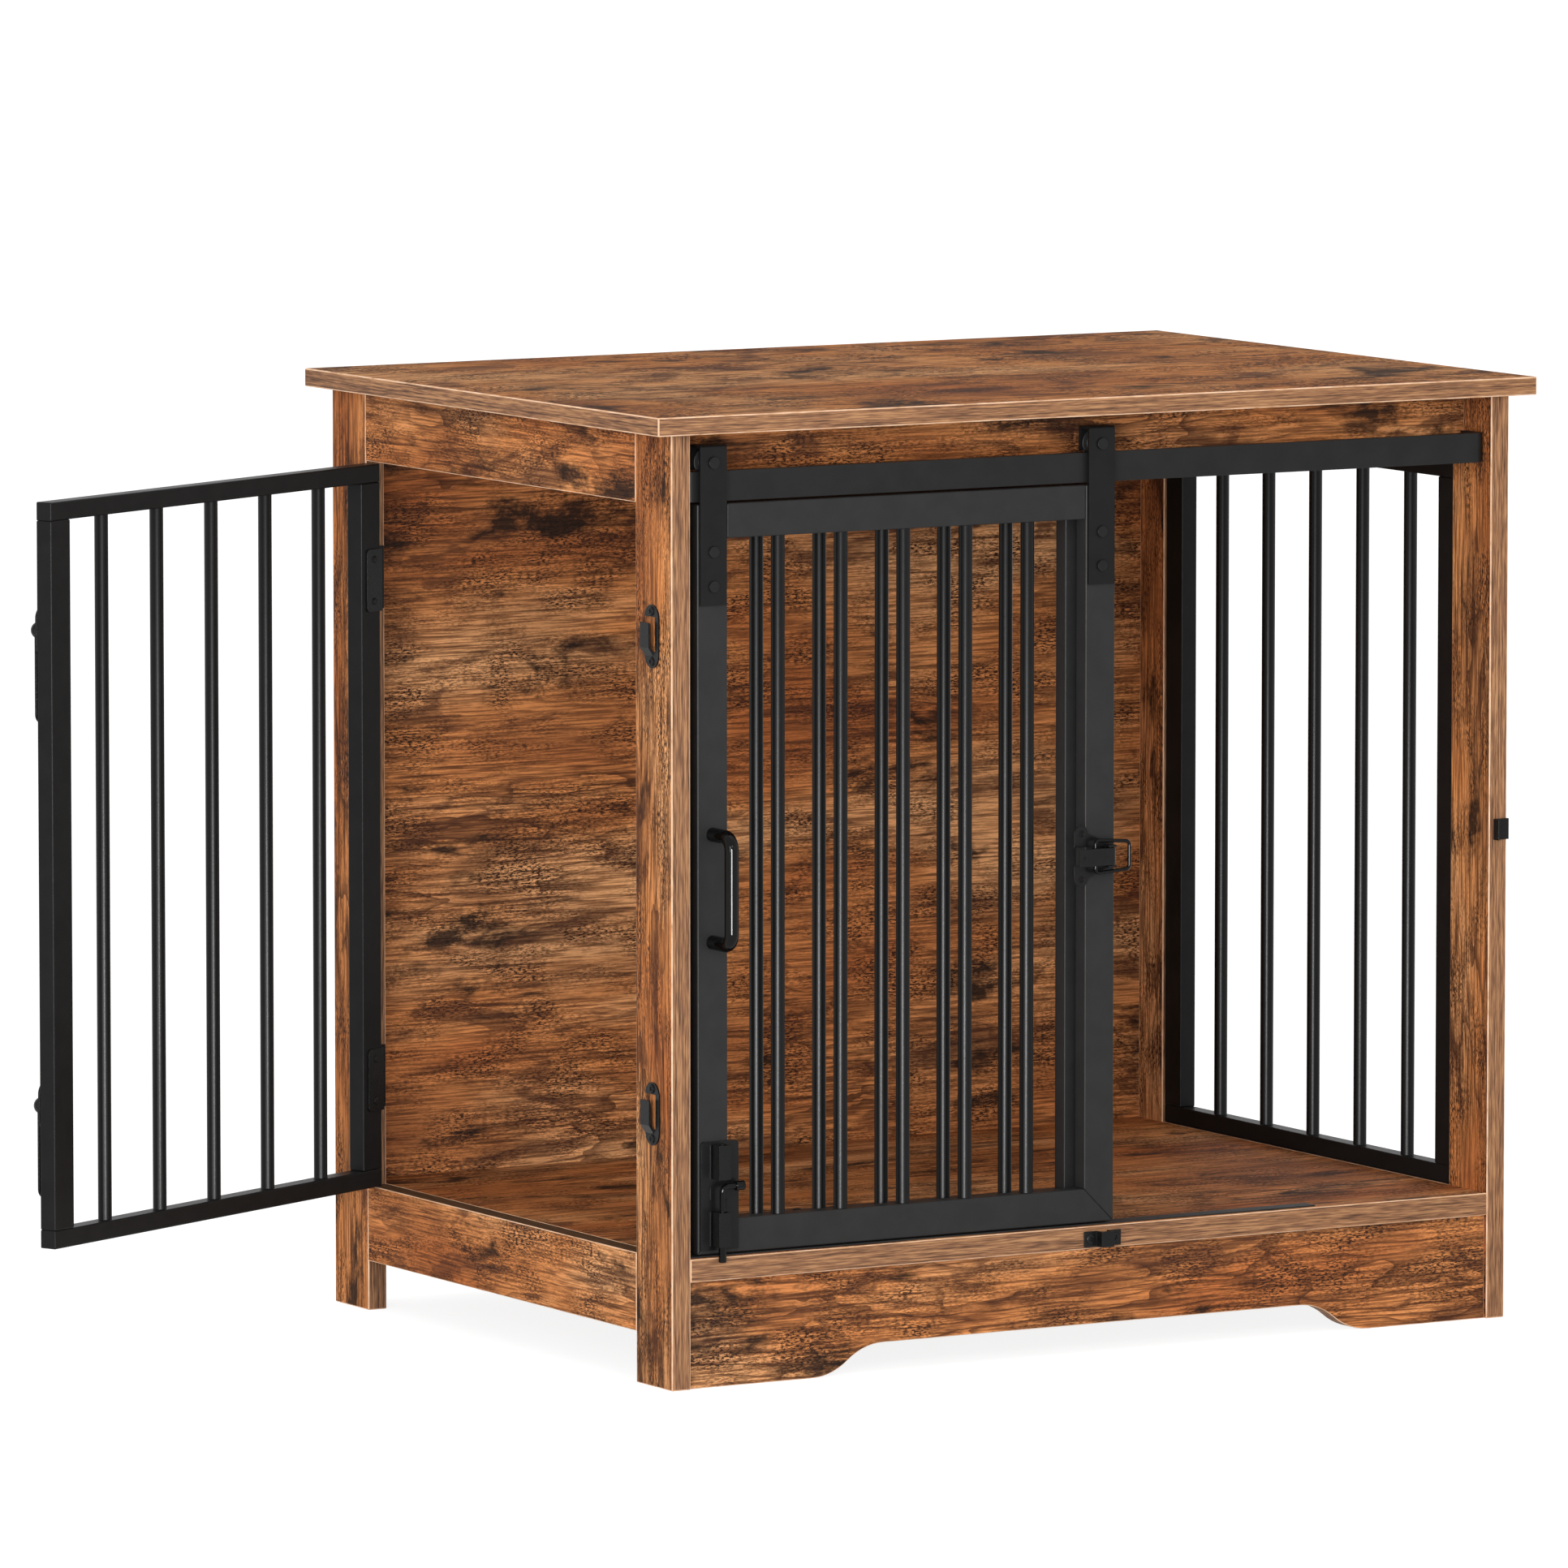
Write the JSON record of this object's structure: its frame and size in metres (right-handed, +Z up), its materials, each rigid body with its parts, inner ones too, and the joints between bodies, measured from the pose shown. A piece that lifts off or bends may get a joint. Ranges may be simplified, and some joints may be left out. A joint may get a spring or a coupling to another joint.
{
  "type": "pet crate",
  "caption": "Wooden end-table pet crate with black steel barred sides, a barn-style sliding front door on a top track and a hinged side door with latches.",
  "frame": {"origin": "centre of the carcass footprint between the four posts, on the floor", "axes": "+X to the right of someone facing the front, +Y from front to back, +Z up"},
  "size_m": [1.0562, 0.5281, 0.677],
  "materials": {
    "rustic_board": "matt rustic brown laminate on particle board",
    "beech_dowel": "plain beech",
    "black_steel": "satin black powder coat",
    "gloss_black_steel": "gloss black enamel",
    "black_fastener": "black oxide",
    "black_nylon": "moulded nylon",
    "black_strip": "satin black"
  },
  "bodies": {
    "base": {"tabletop": "rustic_board", "post_front_left": "rustic_board", "post_front_right": "rustic_board", "post_back_left": "rustic_board", "post_back_right": "rustic_board", "rail_top_left": "rustic_board", "rail_top_right": "rustic_board", "skirt_left": "rustic_board", "skirt_right": "rustic_board", "skirt_front": "rustic_board", "apron_front": "rustic_board", "floor_panel": "rustic_board", "back_panel": "rustic_board", "frame_dowels": "beech_dowel", "track_bar": "black_steel", "floor_strip": "black_strip", "fixed_grille_stiles": "black_steel", "fixed_grille_rails": "black_steel", "fixed_grille_bars": "black_steel", "right_grille_stiles": "black_steel", "right_grille_rails": "black_steel", "right_grille_bars": "black_steel", "bolt_keeper": "black_steel", "toggle_catch": "black_steel", "latch_hook_upper": "black_steel", "latch_hook_lower": "black_steel", "hinge_post_leaves": "black_steel", "hinge_pins": "black_fastener", "hinge_screws": "black_fastener", "wood_screws": "black_fastener"},
    "sliding_door": {"door_stile_left": "black_steel", "door_stile_right": "black_steel", "door_rail_top": "black_steel", "door_rail_bottom": "black_steel", "door_bars": "black_steel", "hanger_left": "black_steel", "hanger_right": "black_steel", "hanger_bolts": "black_fastener", "roller_axles": "black_fastener", "pull_handle": "gloss_black_steel", "bolt_plate": "black_steel", "bolt_housings": "black_steel", "toggle_base": "black_steel", "toggle_pin": "black_fastener"},
    "roller_left": {"roller_left": "black_nylon"},
    "roller_right": {"roller_right": "black_nylon"},
    "barrel_bolt": {"bolt_rod": "black_steel"},
    "toggle_lever": {"toggle_lever": "black_steel"},
    "toggle_bail": {"toggle_bail": "gloss_black_steel"},
    "side_door": {"side_door_stiles": "black_steel", "side_door_rails": "black_steel", "side_door_bars": "black_steel", "hinge_door_leaves": "black_steel", "hinge_rivets": "black_fastener", "latch_plates": "black_steel", "latch_studs": "black_fastener"},
    "latch_lever_upper": {"latch_lever_upper": "black_steel"},
    "latch_lever_lower": {"latch_lever_lower": "black_steel"}
  },
  "joints": [
    {"name": "sliding_door_slide", "type": "slide", "parent": "base", "child": "sliding_door", "axis": [1, 0, 0], "range_m": [0, 0.311]},
    {"name": "roller_left_spin", "type": "hinge", "parent": "sliding_door", "child": "roller_left", "pos_m": [-0.309, -0.23535, 0.6432], "axis": [0, 1, 0], "range_deg": [0, 2971]},
    {"name": "roller_right_spin", "type": "hinge", "parent": "sliding_door", "child": "roller_right", "pos_m": [0.005, -0.23535, 0.6432], "axis": [0, 1, 0], "range_deg": [0, 2971]},
    {"name": "barrel_bolt_drop", "type": "slide", "parent": "sliding_door", "child": "barrel_bolt", "axis": [0, 0, -1], "range_m": [0, 0.014]},
    {"name": "toggle_lever_swing", "type": "hinge", "parent": "sliding_door", "child": "toggle_lever", "pos_m": [0.0095, -0.248, 0.353], "axis": [0, 0, 1], "range_deg": [0, 140]},
    {"name": "toggle_bail_swing", "type": "hinge", "parent": "toggle_lever", "child": "toggle_bail", "pos_m": [-0.003, -0.248, 0.353], "axis": [0, 0, 1], "range_deg": [-140, 0]},
    {"name": "side_door_swing", "type": "hinge", "parent": "base", "child": "side_door", "pos_m": [-0.346, 0.193, 0.35], "axis": [0, 0, 1], "range_deg": [-45.3, 64.7]},
    {"name": "latch_lever_upper_swing", "type": "hinge", "parent": "side_door", "child": "latch_lever_upper", "pos_m": [-0.68779, 0.02922, 0.523], "axis": [-0.4274, 0.9041, 0], "range_deg": [-140, 140]},
    {"name": "latch_lever_lower_swing", "type": "hinge", "parent": "side_door", "child": "latch_lever_lower", "pos_m": [-0.68779, 0.02922, 0.191], "axis": [-0.4274, 0.9041, 0], "range_deg": [-140, 140]}
  ],
  "couplings": [
    {"joint": "roller_left_spin", "follows": "sliding_door_slide", "rad_per_m": 166.67},
    {"joint": "roller_right_spin", "follows": "sliding_door_slide", "rad_per_m": 166.67},
    {"joint": "toggle_bail_swing", "follows": "toggle_lever_swing", "ratio": -1}
  ]
}
